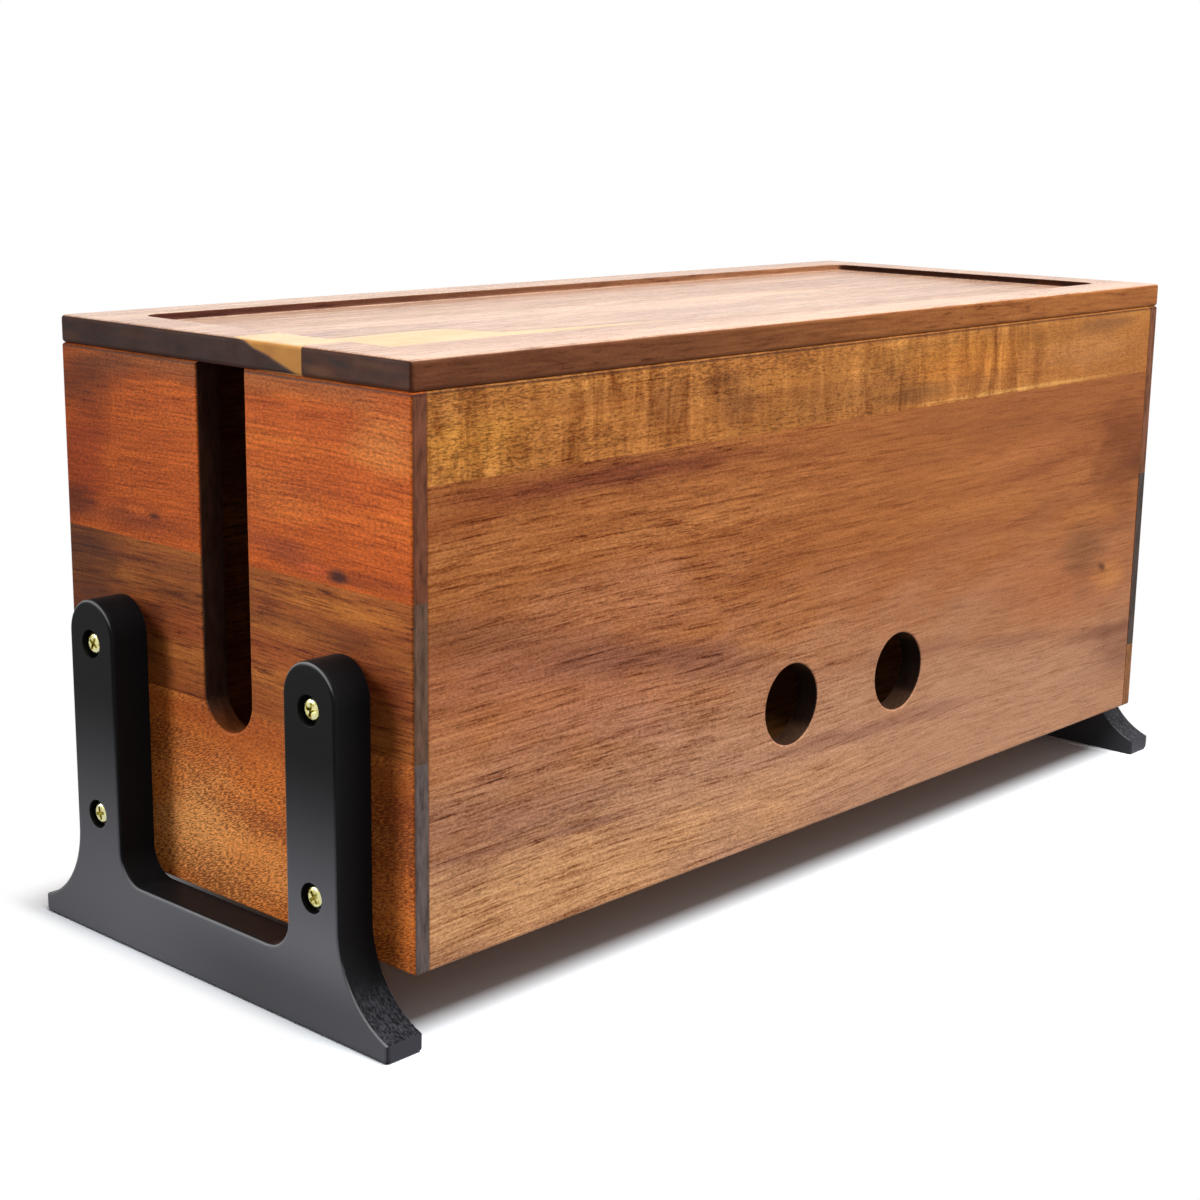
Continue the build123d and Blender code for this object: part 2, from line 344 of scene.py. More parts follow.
def grain_strength(board, calm):
    """1, and less beyond the stretch in which the board's figure turns calm, given in mm."""
    if not calm:
        return 1.0
    start, end = metres(calm)
    return board.tree.scale_add(board.tree.band(board.along, end, start), 1.0 - CALM, CALM)


def figure(board, tones, streaks, spots):
    """The board's colour without its fibres: wide streaks, and the spots on them."""
    tree = board.tree
    tone = tree.scale_add(board.layer("wide"), WIDE_WEIGHT * streaks, 0.5)
    tone = tree.scale_add(board.medium, MEDIUM_WEIGHT * streaks, tone)
    colour = tree.ramp(tone, list(zip(TONE_STOPS, tones)))
    for patch in spots:
        colour = add_spot(board, board.along, board.across, colour, patch)
    return colour


def fibre_detail(board, fibres, threads, lines, speckle):
    """How much the fibres lighten or darken the wood, around 0."""
    tree = board.tree
    detail = tree.product(board.hair, HAIR_WEIGHT * fibres)
    detail = tree.scale_add(board.fine, FINE_WEIGHT * fibres, detail)

    vein = tree.band(tree.absolute(board.layer("vein")), THREAD_WIDTH, 0.0)
    thread = tree.product(vein, tree.band(board.layer("vein break"), *THREAD_BREAKS))
    detail = tree.scale_add(thread, THREAD_WEIGHT * threads, detail)

    clusters = tree.band(board.layer("line cluster"), *LINE_CLUSTERS)
    clusters = tree.scale_add(clusters, 1.0 - LONE_LINES, LONE_LINES)
    line = tree.product(tree.band(board.layer("line"), *LINE_START), clusters)
    detail = tree.scale_add(line, LINE_WEIGHT * lines, detail)
    return tree.scale_add(board.layer("grit"), speckle, detail)


def add_curl(board, detail, curl, curl_end):
    """Bands of curly grain across the board, which die out over the stretch given in mm."""
    tree = board.tree
    zones = tree.band(board.layer("curl zone"), *CURL_ZONES)
    wave = tree.product(board.layer("curl"), zones, tree.band(board.along, *metres(curl_end)))
    return tree.scale_add(wave, curl, detail)


def fibre_shade(tree, detail):
    """What the fibres multiply red, green and blue by, so that the dark ones are browner."""
    shades = [tree.scale_add(detail, gain, FIBRE_LEVEL) for gain in FIBRE_GAINS]
    return tree.combine(*(tree.math("MAXIMUM", shade, DARKEST_FIBRE) for shade in shades))


def pore_dashes(board, pore_size, pore_start, slant):
    """Short dashes, in drifts of more and fewer. The slant turns them off the grain."""
    tree = board.tree
    place = board.grain
    if slant:
        u, v, w = board.own
        place = tree.combine(u, v, tree.scale_add(board.along, slant, w))
    per_metre_along, per_metre_across = pore_size
    scales = (per_metre_along, per_metre_across, per_metre_across)
    dash = tree.noise(place, scales, *PORE_NOISE)
    dash = tree.scale_add(board.layer("pore drift"), PORE_DRIFT, dash)
    return tree.band(dash, pore_start, pore_start + PORE_EDGE)


def colour_edges(board, on_top, colour, shade, edge_colours):
    """Give the lid's edges their own colours, from its left end to its right one, darker than its
    top, whose paler tones are partly a painted sheen.
    """
    tree = board.tree
    edge = tree.mix(tree.band(board.along, *EDGE_RUN), *edge_colours)
    return tree.mix(on_top, tree.multiply_colour(edge, shade), colour)


def end_grain(board, end_colour, end_spots):
    """The colour of the faces across the grain, with rings and spots."""
    stops = [
        (position, tuple(value * shade for value in end_colour[:3]) + (1.0,))
        for position, shade in END_SHADES
    ]
    colour = board.tree.ramp(board.ring, stops)
    for patch in end_spots:
        colour = add_spot(board, board.across, board.through, colour, patch)
    return colour


def paint_shade_in_cuts(board, colour):
    """Darken the walls of holes and slots, partly as end grain that soaks up more oil and partly as
    painted shade in them; their floors get painted shade in the holes and painted light in the
    slot.
    """
    tree = board.tree
    from_end = tree.math("SUBTRACT", WALL_HALF[board.lay], tree.absolute(board.along))
    from_top = tree.math("SUBTRACT", WALL_TOP, board.across)
    from_bottom = tree.math("SUBTRACT", board.across, WALL_BOTTOM)
    # Inside the wall's own outline, only a hole or a slot has a face like this
    amount = tree.product(
        tree.band(from_end, *CUT_FROM_END),
        tree.band(tree.absolute(board.faces_through), *CUT_FACING),
        tree.band(from_top, *CUT_FROM_EDGE),
        tree.band(from_bottom, *CUT_FROM_EDGE),
        CUT_AMOUNT,
    )
    floor = tree.band(board.faces_across, *CUT_FLOOR_FACING)
    cut = tree.mix(floor, CUT_WALL[board.lay], CUT_FLOOR[board.lay])
    cut = tree.multiply_colour(cut, tree.scale_add(board.ring, *CUT_SHADES))
    return tree.mix(amount, colour, cut)


def paint_seam_shadow(board, colour):
    """Paint a shadow on the outer edge at the top of the walls, where the lid lies on them."""
    tree = board.tree
    depth = tree.math("SUBTRACT", WALL_TOP, board.across)
    upright = tree.band(board.faces_across, *SEAM_SHADOW_FACING)
    lid_shadow = tree.product(tree.band(depth, *SEAM_SHADOW_DEPTH), upright, SEAM_SHADOW_AMOUNT)
    return tree.mix(lid_shadow, colour, PORE)


def wood(
    name,
    lay,
    seed,
    tones,
    streaks=1.0,
    fibres=1.0,
    threads=0.6,
    lines=1.0,
    speckle=0.5,
    calm=None,
    curl=0.0,
    curl_end=(1000, 900),
    spots=(),
    pores=0.30,
    pore_size=(200.0, 1500.0),
    pore_start=0.07,
    pore_colour=PORE,
    slant=0.0,
    end_colour=END_GRAIN,
    end_spots=(),
    edge_colours=None,
    feature=None,
    sheen=WOOD_SHEEN,
):
    """Oiled acacia: streaks, fibres, pores and curl along the grain, and dark end grain.

    The tones are its dark, middle and light colour, and most of the numbers say how strong a
    part of the grain is. calm and curl_end are stretches along the board, in mm. pore_size is how
    many pores fit in a metre along and across the grain, and sheen is roughness and specular level.
    """
    material = bpy.data.materials.new(name)
    board = Board(material, lay, seed)
    tree = board.tree

    strength = grain_strength(board, calm)
    detail = tree.product(fibre_detail(board, fibres, threads, lines, speckle), strength)
    if curl:
        detail = add_curl(board, detail, curl, curl_end)
    shade = fibre_shade(tree, detail)
    colour = tree.multiply_colour(figure(board, tones, streaks, spots), shade)
    dash = tree.product(pore_dashes(board, pore_size, pore_start, slant), strength, pores)
    colour = tree.mix(dash, colour, pore_colour)

    roughness, specular = sheen
    if edge_colours:
        on_top = tree.band(board.faces_through, *TOP_FACING)
        colour = colour_edges(board, on_top, colour, shade, edge_colours)
        roughness = tree.scale_add(on_top, roughness - EDGE_ROUGHNESS, EDGE_ROUGHNESS)
    end = tree.band(tree.absolute(board.faces_along), *END_FACING)
    colour = tree.mix(end, colour, end_grain(board, end_colour, end_spots))
    if feature:
        colour = feature(board, end, colour)
    if lay != FLAT_BOARD:
        # Painted shade in the holes and slots, and a painted shadow where the lid lies on the walls
        colour = paint_seam_shadow(board, paint_shade_in_cuts(board, colour))

    height = tree.scale_add(dash, PORE_DEPTH, board.fine)
    height = tree.scale_add(board.hair, HAIR_HEIGHT, height)
    tree.finish({
        "Base Color": colour,
        "Roughness": tree.scale_add(board.medium, ROUGHNESS_SPREAD, roughness),
        "Specular IOR Level": specular,
        "Normal": tree.bump(height, BUMP_STRENGTH, BUMP_DISTANCE),
    })
    return material


# ---- The sapwood in the lid's middle board ----

SAP_START = 0.001  # how far it reaches past the glue line
SAP_TAPER = 0.0150  # its width along the thin tail
SAP_TAPER_RUN = (0.240, 0.090)  # from the left end of the lid
SAP_STEP = 0.0226  # how much wider it is near the left end
SAP_STEP_RUN = (0.100, 0.090)
SAP_END_STEP = -0.0045  # on the end grain
SAP_SLOPE = -1.3  # how its edge moves with depth below the lid's top
SAP_END_SLOPE = -1.8  # what the end grain adds to that
SAP_WOBBLE = 0.006
SAP_EDGE = (-0.0008, 0.0022)
SAP_RIM_OUTSIDE = (-0.003, 0.0)
SAP_RIM_INSIDE = (0.002, 0.0)
SAP_RIM_RUN = (0.30, 0.14)
SAP_RIM = srgb(104, 76, 72)
SAP_RIM_AMOUNT = 0.5
SAP_GRAIN = 1.2
SAP_PALE = (srgb(192, 150, 98), srgb(214, 184, 140))
SAP_OILED = (srgb(166, 102, 42), srgb(216, 156, 76))


def sapwood(board, end, colour):
    """Pale yellow sapwood in the front of the middle lid board, wide at the left end."""
    tree = board.tree
    (left_end, glue_line, _), (_, _, lid_top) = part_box("lid_middle_stave")
    depth = tree.math("SUBTRACT", lid_top, board.through)
    run = tree.math("SUBTRACT", board.along, left_end)

    edge = tree.scale_add(tree.band(run, *SAP_TAPER_RUN), SAP_TAPER, glue_line - SAP_START)
    edge = tree.scale_add(tree.band(run, *SAP_STEP_RUN), SAP_STEP, edge)
    edge = tree.scale_add(end, SAP_END_STEP, edge)
    edge = tree.scale_add(depth, tree.scale_add(end, SAP_END_SLOPE, SAP_SLOPE), edge)
    edge = tree.scale_add(board.wobble, SAP_WOBBLE, edge)

    gap = tree.math("SUBTRACT", edge, board.across)
    rim = tree.product(
        tree.band(gap, *SAP_RIM_OUTSIDE),
        tree.band(gap, *SAP_RIM_INSIDE),
        tree.band(run, *SAP_RIM_RUN),
        SAP_RIM_AMOUNT,
    )
    grain = tree.scale_add(board.wobble, SAP_GRAIN, 0.5)
    inner = tree.mix(end, tree.mix(grain, *SAP_PALE), tree.mix(grain, *SAP_OILED))
    return tree.mix(tree.band(gap, *SAP_EDGE), tree.mix(rim, colour, SAP_RIM), inner)


# ---- The boards: their colours, their spots and how strong their grain is ----

RED_BROWN = (srgb(118, 64, 36), srgb(167, 101, 55), srgb(208, 140, 84))
GOLDEN = (srgb(108, 64, 30), srgb(178, 112, 56), srgb(228, 162, 84))
ORANGE = (srgb(130, 44, 10), srgb(198, 94, 32), srgb(240, 144, 56))
AMBER = (srgb(80, 36, 13), srgb(146, 76, 31), srgb(200, 124, 54))
RUSSET = (srgb(138, 58, 19), srgb(212, 118, 48), srgb(248, 170, 82))
TAN = (srgb(140, 70, 30), srgb(202, 126, 66), srgb(236, 176, 108))
# The lid's top gets paler tones than its edges: partly a painted sheen
LID_TOP = (srgb(141, 102, 84), srgb(178, 142, 119), srgb(212, 183, 158))
LID_EDGE = (srgb(100, 58, 36), srgb(160, 98, 50))  # at its left and its right end
TRAY_EDGE = (srgb(74, 38, 30), srgb(144, 98, 68))

FRONT_LOWER_SPOTS = [
    # The paler lower part: partly the board's own tone, partly painted light from the white floor
    # below
    spot((0, 30), (620, 112), (192, 142, 110), 0.95, ragged=0.15),
    spot((-170, 38), (170, 28), (220, 162, 108), 0.65),
    spot((165, 90), (90, 30), (178, 106, 62), 0.50, slope=-0.05),
    spot((60, 128), (120, 10), (150, 88, 56), 0.30, slope=0.04),
    spot((-160, 108), (130, 36), (170, 106, 88), 0.40, slope=-0.10),
    spot((-195, 133), (60, 10), (126, 76, 54), 0.60, slope=-0.12),
    spot((-122, 112), (100, 13), (122, 74, 58), 0.60, slope=-0.20),
    spot((-190, 68), (70, 12), (144, 92, 74), 0.35, slope=-0.04),
    spot((-150, 57), (40, 2.5), (116, 70, 66), 0.50, slope=-0.05),
    spot((-205, 60), (30, 3.0), (122, 74, 64), 0.45, slope=-0.06),
    spot((20, 57), (110, 6), (140, 90, 76), 0.45, slope=-0.03),
    spot((45, 84), (70, 5), (130, 78, 60), 0.40, slope=-0.06),
    spot((-190, 106), (60, 9), (180, 112, 66), 0.50),
    spot((-140, 136), (90, 20), (188, 124, 84), 0.60),
    spot((-30, 44), (90, 14), (216, 158, 112), 0.40),
    spot((140, 150), (70, 18), (150, 84, 52), 0.30),
    spot((212, 150), (48, 40), (112, 56, 30), 0.75),
    spot((228, 140), (26, 14), (88, 42, 24), 0.50),
    spot((177, 104), (27, 23), (112, 74, 48), 0.50, slope=-0.2, ragged=0.5),
    spot((140, 150), (64, 5), (132, 72, 44), 0.40, slope=0.15),
    spot((120, 158), (50, 5), (192, 120, 74), 0.30, slope=0.15),
    spot((150, 130), (70, 8), (134, 80, 52), 0.35, slope=0.18),
    spot((203, 92), (20, 11), (208, 138, 76), 0.65),
    spot((195, 97), (5.5, 3.0), (84, 46, 28), 0.80, slope=-0.3),
    spot((188, 93), (8, 1.6), (206, 130, 70), 0.60),
    spot((200, 66), (54, 4.5), (118, 70, 50), 0.60, slope=-0.03),
    spot((120, 76), (60, 4), (132, 82, 62), 0.40, slope=-0.10),
    spot((226, 55), (46, 24), (118, 70, 50), 0.50),
    spot((-140, 178), (120, 6), (116, 56, 38), 0.75),
    spot((-225, 172), (60, 9), (138, 70, 36), 0.50, slope=0.04),
]
FRONT_UPPER_SPOTS = [
    spot((60, 206), (200, 7), (124, 76, 34), 0.40),
    spot((-20, 194), (80, 14), (116, 72, 42), 0.40),
    spot((-205, 194), (34, 15), (214, 146, 62), 0.50),
    spot((-112, 199), (20, 13), (118, 70, 40), 0.50),
    spot((-76, 198), (22, 17), (112, 66, 38), 0.60),
    spot((-150, 206), (30, 6), (124, 74, 40), 0.40),
    spot((35, 190), (40, 5), (104, 62, 38), 0.60),
    spot((80, 196), (30, 12), (150, 92, 50), 0.45),
    spot((165, 198), (60, 11), (200, 138, 84), 0.45),
    spot((80, 201), (56, 11), (216, 136, 54), 0.40),
    spot((190, 209), (44, 6), (122, 78, 56), 0.60),
    spot((120, 185.7), (100, 1.3), (222, 162, 92), 0.80, ragged=0.1),
]
LEFT_UPPER_SPOTS = [
    spot((0, 212), (140, 8), (158, 98, 52), 0.60),
    # Darker towards the far end: partly the board's own tone, partly painted shade where the light
    # falls off
    spot((84, 172), (26, 34), (140, 44, 14), 0.60),
    # Darker towards the far end: partly the board's own tone, partly painted shade where the light
    # falls off
    spot((88, 200), (34, 16), (88, 36, 12), 0.75),
    # Darker towards the far end: partly the board's own tone, partly painted shade where the light
    # falls off
    spot((92, 156), (30, 10), (78, 28, 6), 0.75),
    spot((60, 207), (34, 9), (110, 54, 26), 0.50),
    spot((-62, 151.5), (46, 4), (112, 50, 22), 0.50),
    spot((-30, 172), (34, 14), (232, 138, 62), 0.20),
    spot((20, 208), (60, 4), (120, 62, 36), 0.50, slope=0.03),
    spot((60, 155), (50, 7), (120, 52, 30), 0.60, slope=-0.04),
    spot((-30, 156), (30, 7), (128, 58, 34), 0.60, slope=0.10),
    spot((50, 158.5), (10, 2.5), (228, 112, 46), 0.60),
    spot((40, 157.5), (5, 2.0), (66, 28, 24), 0.80),
    spot((-46, 152), (12, 3.0), (214, 96, 44), 0.60),
    spot((-58, 151.5), (7, 3.6), (54, 24, 24), 0.90),
    spot((-82, 196), (22, 14), (222, 138, 66), 0.60),
    spot((-52, 180), (40, 7), (176, 80, 32), 0.35),
]
LEFT_MIDDLE_SPOTS = [
    spot((0, 121), (130, 11), (128, 54, 24), 0.60),
    spot((10, 132), (100, 6), (92, 46, 20), 0.55, slope=0.01),
    spot((-84, 131), (30, 6), (96, 42, 16), 0.35),
    # Darker towards the far end: partly the board's own tone, partly painted shade where the light
    # falls off
    spot((82, 144), (40, 14), (80, 34, 12), 0.60),
    spot((-70, 126), (40, 12), (104, 46, 18), 0.50),
    # Darker towards the far end: partly the board's own tone, partly painted shade where the light
    # falls off
    spot((82, 132), (34, 26), (66, 28, 12), 0.60),
    # Painted shadow of the near upright on the wall beside it
    spot((-78, 116), (26, 20), (110, 44, 18), 0.60),
    # Painted shadow of the far upright on the wall beside it
    spot((44, 112), (16, 22), (70, 32, 16), 0.60),
    spot((30, 140), (60, 5), (124, 70, 36), 0.45),
    spot((-55, 141), (66, 5), (190, 114, 46), 0.60),
    spot((-20, 120), (60, 10), (170, 88, 42), 0.40),
]
LEFT_LOWER_SPOTS = [
    # Paler low down: partly the board's own tone, partly painted light from the white floor below
    spot((0, 42), (90, 28), (244, 164, 88), 0.55),
    spot((10, 90), (110, 15), (158, 72, 24), 0.75),
    # Paler low down: partly the board's own tone, partly painted light from the white floor below
    spot((20, 52), (34, 34), (248, 178, 104), 0.50),
    # Painted shadow of the near upright on the wall beside it
    spot((-85, 60), (26, 60), (180, 98, 52), 0.25),
    # Painted shadow of the near upright on the wall beside it
    spot((-86, 84), (24, 24), (126, 50, 18), 0.60),
]
LID_FRONT_SPOTS = [
    spot((0, -90), (420, 26), (204, 166, 140), 0.80),
]
LID_MIDDLE_SPOTS = [
    spot((-196, 4), (40, 8), (140, 104, 104), 0.55),
    spot((-110, -1), (70, 3), (130, 96, 92), 0.45, slope=0.03),
    spot((-140, 24), (30, 9), (214, 176, 156), 0.50, slope=0.3),
    spot((10, 28), (50, 8), (228, 188, 160), 0.60, slope=0.15),
    spot((60, 10), (80, 10), (222, 176, 140), 0.45),
]
LID_FRONT_END_SPOTS = [
    spot((-50, 216.5), (12, 2.6), (104, 66, 38), 0.55, slope=0.08),
    spot((-76, 221), (14, 1.8), (92, 58, 34), 0.50, slope=0.06),
    spot((-60, 220), (10, 1.8), (30, 18, 12), 0.60, slope=0.12),
]
LID_BACK_END_SPOTS = [
    spot((70, 218), (12, 4), (32, 18, 12), 0.55),
    spot((88, 217), (10, 3), (78, 44, 22), 0.50),
    spot((48, 220), (14, 2), (76, 42, 24), 0.45, slope=0.05),
]

FRONT_LOWER = dict(
    lay=LONG_WALL,
    seed=1,
    tones=RED_BROWN,
    streaks=0.8,
    fibres=1.15,
    threads=1.3,
    lines=0.9,
    speckle=1.1,
    calm=(-120, 90),
    spots=FRONT_LOWER_SPOTS,
)
FRONT_UPPER = dict(
    lay=LONG_WALL,
    seed=2,
    tones=GOLDEN,
    streaks=0.5,
    fibres=0.6,
    threads=0.7,
    lines=0.8,
    speckle=0.9,
    calm=(-100, 160),
    curl=1.7,
    curl_end=(200, 70),
    spots=FRONT_UPPER_SPOTS,
    pores=0.60,
    pore_size=(420.0, 1900.0),
    pore_start=0.02,
    pore_colour=srgb(84, 46, 22),
)
LEFT_LOWER = dict(
    lay=END_WALL,
    seed=6,
    tones=RUSSET,
    streaks=0.6,
    fibres=0.35,
    threads=0.2,
    lines=0.0,
    speckle=1.6,
    spots=LEFT_LOWER_SPOTS,
    pores=0.80,
    pore_size=(440.0, 2200.0),
    pore_start=-0.01,
    pore_colour=srgb(106, 46, 20),
    slant=0.40,
    end_colour=srgb(98, 86, 82),
)
LEFT_MIDDLE = dict(
    lay=END_WALL,
    seed=7,
    tones=AMBER,
    streaks=1.1,
    fibres=1.3,
    threads=1.6,
    lines=1.4,
    speckle=0.9,
    spots=LEFT_MIDDLE_SPOTS,
    end_colour=srgb(100, 76, 62),
)
LEFT_UPPER = dict(
    lay=END_WALL,
    seed=8,
    tones=ORANGE,
    streaks=0.7,
    fibres=1.2,
    threads=0.8,
    lines=0.7,
    speckle=1.5,
    spots=LEFT_UPPER_SPOTS,
    pores=0.35,
    pore_size=(420.0, 1500.0),
    end_colour=srgb(112, 68, 50),
)
RIGHT_LOWER = dict(lay=END_WALL, seed=9, tones=RED_BROWN, end_colour=srgb(146, 98, 62))
RIGHT_MIDDLE = dict(lay=END_WALL, seed=10, tones=AMBER, end_colour=srgb(72, 60, 54))
RIGHT_UPPER = dict(lay=END_WALL, seed=11, tones=GOLDEN, end_colour=srgb(118, 74, 52))
LID_FRONT = dict(
    lay=FLAT_BOARD,
    seed=15,
    tones=LID_TOP,
    streaks=0.6,
    spots=LID_FRONT_SPOTS,
    end_colour=srgb(61, 28, 12),
    end_spots=LID_FRONT_END_SPOTS,
    edge_colours=LID_EDGE,
    sheen=LID_SHEEN,
)
LID_MIDDLE = dict(
    lay=FLAT_BOARD,
    seed=16,
    tones=LID_TOP,
    spots=LID_MIDDLE_SPOTS,
    end_colour=srgb(47, 21, 9),
    edge_colours=TRAY_EDGE,
    feature=sapwood,
    sheen=LID_SHEEN,
)
LID_BACK = dict(
    lay=FLAT_BOARD,
    seed=17,
    tones=LID_TOP,
    end_colour=srgb(48, 21, 9),
    end_spots=LID_BACK_END_SPOTS,
    edge_colours=TRAY_EDGE,
    sheen=LID_SHEEN,
)

# A slot cuts a board in two, and both halves have the same grain
BOARDS = {
    "front_lower_stave": FRONT_LOWER,
    "front_upper_stave": FRONT_UPPER,
    "back_lower_stave": dict(lay=LONG_WALL, seed=3, tones=TAN),
    "back_middle_stave": dict(lay=LONG_WALL, seed=4, tones=GOLDEN, curl=0.5),
    "back_upper_stave": dict(lay=LONG_WALL, seed=5, tones=RED_BROWN),
    "left_end_lower_stave": LEFT_LOWER,
    "left_end_middle_front_stave": LEFT_MIDDLE,
    "left_end_middle_back_stave": LEFT_MIDDLE,
    "left_end_upper_front_stave": LEFT_UPPER,
    "left_end_upper_back_stave": LEFT_UPPER,
    "right_end_lower_stave": RIGHT_LOWER,
    "right_end_middle_stave": RIGHT_MIDDLE,
    "right_end_upper_front_stave": RIGHT_UPPER,
    "right_end_upper_back_stave": RIGHT_UPPER,
    "bottom_front_stave": dict(lay=FLAT_BOARD, seed=12, tones=TAN),
    "bottom_middle_stave": dict(lay=FLAT_BOARD, seed=13, tones=GOLDEN),
    "bottom_back_stave": dict(lay=FLAT_BOARD, seed=14, tones=TAN),
    "lid_front_stave": LID_FRONT,
    "lid_middle_stave": LID_MIDDLE,
    "lid_back_stave": LID_BACK,
    "lid_front_rail": dict(lay=FLAT_BOARD, seed=18, tones=TAN),
    "lid_back_rail": dict(lay=FLAT_BOARD, seed=19, tones=TAN),
}


# ---- Paint ----

STAND_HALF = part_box("left_stand")[1].y

# Noises: features per metre along x, y and z, and then detail, roughness and distortion
PAINT_WRINKLES = ((1300.0, 420.0, 420.0), 2.0, 0.6, 1.2)
PAINT_GRAIN = ((400.0, 70.0, 900.0), 3.0, 0.6)
PAINT_SPECKS = ((1500.0, 1500.0, 1500.0), 2.0)

# Painted light: the sides get a lighter black than the outer faces
SIDE_PAINT_PAINTED_LIGHTER = srgb(25, 25, 27)
OUTER_PAINT = srgb(13, 13, 14)
OUTER_FACING = (0.60, 0.95)
# A painted reflection of the white floor: the outer faces get paler towards it
FLOOR_REFLECTION_PAINT = srgb(110, 110, 116)
FLOOR_REFLECTION_HEIGHT = (0.098, 0.012)  # above the floor, as the other heights are
WEAKER_REFLECTION_HEIGHT = (0.034, 0.010)  # a foot's outer face with less of the painted reflection, near the front
WEAKER_REFLECTION_WIDTH = (0.05, -0.03)  # from the middle of the stand
WEAKER_REFLECTION_AMOUNT = -0.48

TOE_FACING = (0.25, 0.70)  # the toes are where the feet flare out and face up
TOE_FROM_TIP = (0.0265, 0.0145)  # in from the tip of the foot
TOE_PAINT = (srgb(22, 22, 25), srgb(70, 70, 76))  # in the wrinkles, and a painted highlight on them
TOE_WRINKLES = (-0.10, 0.16)
# The painted highlights on the toes fade in from the first height down to the second
TOE_HIGHLIGHT_HEIGHT = (0.026, 0.010)
# A painted highlight on the tip faces of the toes
TIP_HIGHLIGHT_PAINT = srgb(66, 66, 72)
TIP_FACING = (0.60, 0.90)
TIP_DEPTH = (0.0035, 0.0020)  # in from the tip too

ARRIS_HIGHLIGHT_PAINT = srgb(128, 128, 130)  # a painted highlight on the edge around the tops of the uprights
ARRIS_FACING = (0.45, 0.65)
ARRIS_END = (0.95, 0.80)  # it stops short of the flat face
ARRIS_FACING_UP = (0.20, 0.45)
ARRIS_AMOUNT = 0.80
SPECK_PAINT = srgb(70, 70, 74)
SPECK_AMOUNT = 0.15

WRINKLE_HEIGHT = 3.0
GRAIN_HEIGHT = 0.25
SPECK_HEIGHT = 0.08
PAINT_BUMP_STRENGTH = 0.5
PAINT_BUMP_DISTANCE = 0.0004
PAINT_EDGE = 0.0006
PAINT_EDGE_SAMPLES = 4
PAINT_ROUGHNESS = 0.36
PAINT_ROUGHNESS_SPREAD = 0.15
PAINT_SPECULAR = 0.05


def sides_with_painted_light(tree, faces_x, width, height):
    """Black sides with painted light, lighter than the outer faces, and outer faces that get paler
    towards the floor from a painted reflection of it.
    """
    outer = tree.band(faces_x, *OUTER_FACING)
    weaker_reflection = tree.product(tree.band(height, *WEAKER_REFLECTION_HEIGHT), tree.band(width, *WEAKER_REFLECTION_WIDTH))
    kept = tree.scale_add(weaker_reflection, WEAKER_REFLECTION_AMOUNT, 1.0)
    floor_reflection = tree.product(outer, tree.band(height, *FLOOR_REFLECTION_HEIGHT), kept)
    return tree.mix(floor_reflection, tree.mix(outer, SIDE_PAINT_PAINTED_LIGHTER, OUTER_PAINT), FLOOR_REFLECTION_PAINT)


def toes_with_painted_highlights(tree, toe, wrinkle, height, colour):
    """Painted highlights on the ridges of the toes' wrinkles, fading in towards the floor."""
    glints = tree.mix(tree.band(wrinkle, *TOE_WRINKLES), *TOE_PAINT)
    return tree.mix(tree.product(toe, tree.band(height, *TOE_HIGHLIGHT_HEIGHT)), colour, glints)


def painted_edge_highlights(tree, faces_x, faces_y, faces_z, from_tip, colour):
    """Painted highlights on the tips of the toes and on the arrises of the uprights."""
    tip = tree.product(tree.band(faces_y, *TIP_FACING), tree.band(from_tip, *TIP_DEPTH))
    colour = tree.mix(tip, colour, TIP_HIGHLIGHT_PAINT)
    arris = tree.product(
        tree.band(faces_x, *ARRIS_FACING),
        tree.band(faces_x, *ARRIS_END),
        tree.band(faces_z, *ARRIS_FACING_UP),
        ARRIS_AMOUNT,
    )
    return tree.mix(arris, colour, ARRIS_HIGHLIGHT_PAINT)


def black_paint():
    """Satin black paint, paler low down from a painted reflection of the floor, with painted
    highlights on its toes and edges, and with wood relief where it faces up.
    """
    material = bpy.data.materials.new("black_paint")
    tree = Tree(material)
    coordinates = tree.add("ShaderNodeTexCoord").outputs
    place = coordinates["Object"]
    _, width, height = tree.separate(place)
    from_tip = tree.math("SUBTRACT", STAND_HALF, tree.absolute(width))
    normal_x, normal_y, faces_z = tree.separate(coordinates["Normal"])
    faces_x = tree.absolute(normal_x)
    faces_y = tree.absolute(normal_y)
    wrinkle = tree.noise(place, *PAINT_WRINKLES)
    grain = tree.noise(place, *PAINT_GRAIN)
    specks = tree.noise(place, *PAINT_SPECKS)

    toe = tree.product(tree.band(faces_z, *TOE_FACING), tree.band(from_tip, *TOE_FROM_TIP))
    # Painted light on the sides, a painted reflection of the floor low down, and painted highlights
    # on the toes, tips and arrises
    colour = sides_with_painted_light(tree, faces_x, width, height)
    colour = toes_with_painted_highlights(tree, toe, wrinkle, height, colour)
    colour = painted_edge_highlights(tree, faces_x, faces_y, faces_z, from_tip, colour)
    colour = tree.mix(tree.product(specks, SPECK_AMOUNT), colour, SPECK_PAINT)

    relief = tree.product(grain, GRAIN_HEIGHT)
    relief = tree.scale_add(tree.product(wrinkle, toe), WRINKLE_HEIGHT, relief)
    relief = tree.scale_add(specks, SPECK_HEIGHT, relief)
    bevel = tree.add("ShaderNodeBevel", {"Radius": PAINT_EDGE}, samples=PAINT_EDGE_SAMPLES)
    edge = bevel.outputs[0]
    tree.finish({
        "Base Color": colour,
        "Roughness": tree.scale_add(grain, PAINT_ROUGHNESS_SPREAD, PAINT_ROUGHNESS),
        "Specular IOR Level": PAINT_SPECULAR,
        "Normal": tree.bump(relief, PAINT_BUMP_STRENGTH, PAINT_BUMP_DISTANCE, Normal=edge),
    })
    return material


# ---- Metal ----

